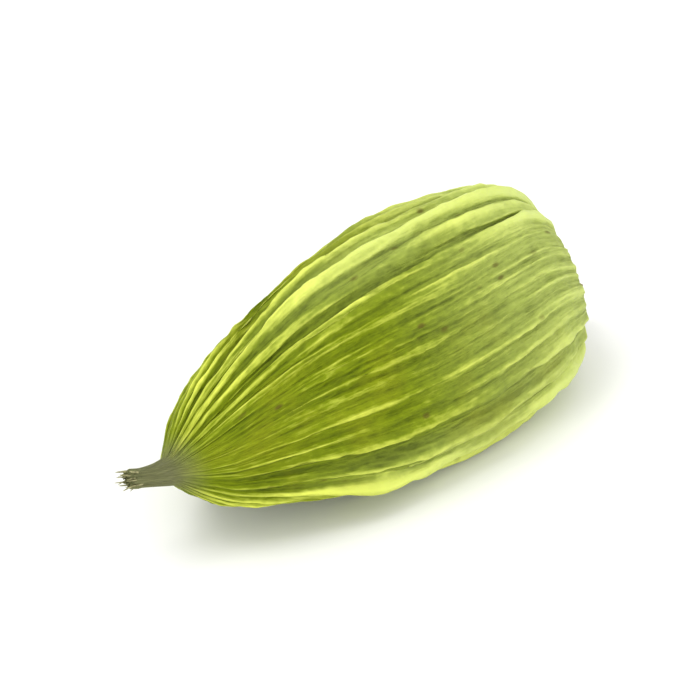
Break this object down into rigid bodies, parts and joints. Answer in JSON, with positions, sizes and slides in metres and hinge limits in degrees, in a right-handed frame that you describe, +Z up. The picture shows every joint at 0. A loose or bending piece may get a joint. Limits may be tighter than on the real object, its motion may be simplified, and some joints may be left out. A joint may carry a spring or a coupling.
{
  "type": "green cardamom pod",
  "caption": "Dried spindle-shaped green spice pod, three-sided and ribbed lengthwise, with a stalk stub and a short tip, lying on one flattened side.",
  "frame": {"origin": "middle of the pod's box, on the surface that it lies on", "axes": "+X along the pod from the broken stalk to the tip, +Z up, out of the surface that it lies on"},
  "size_m": [0.0168, 0.0068, 0.0063],
  "materials": {
    "husk": "dried plant husk, semi-matte pale yellow-green, deeper green in the furrows, straw-coloured at the stalk"
  },
  "bodies": {
    "root": {"cardamom_pod": "husk"}
  },
  "joints": []
}
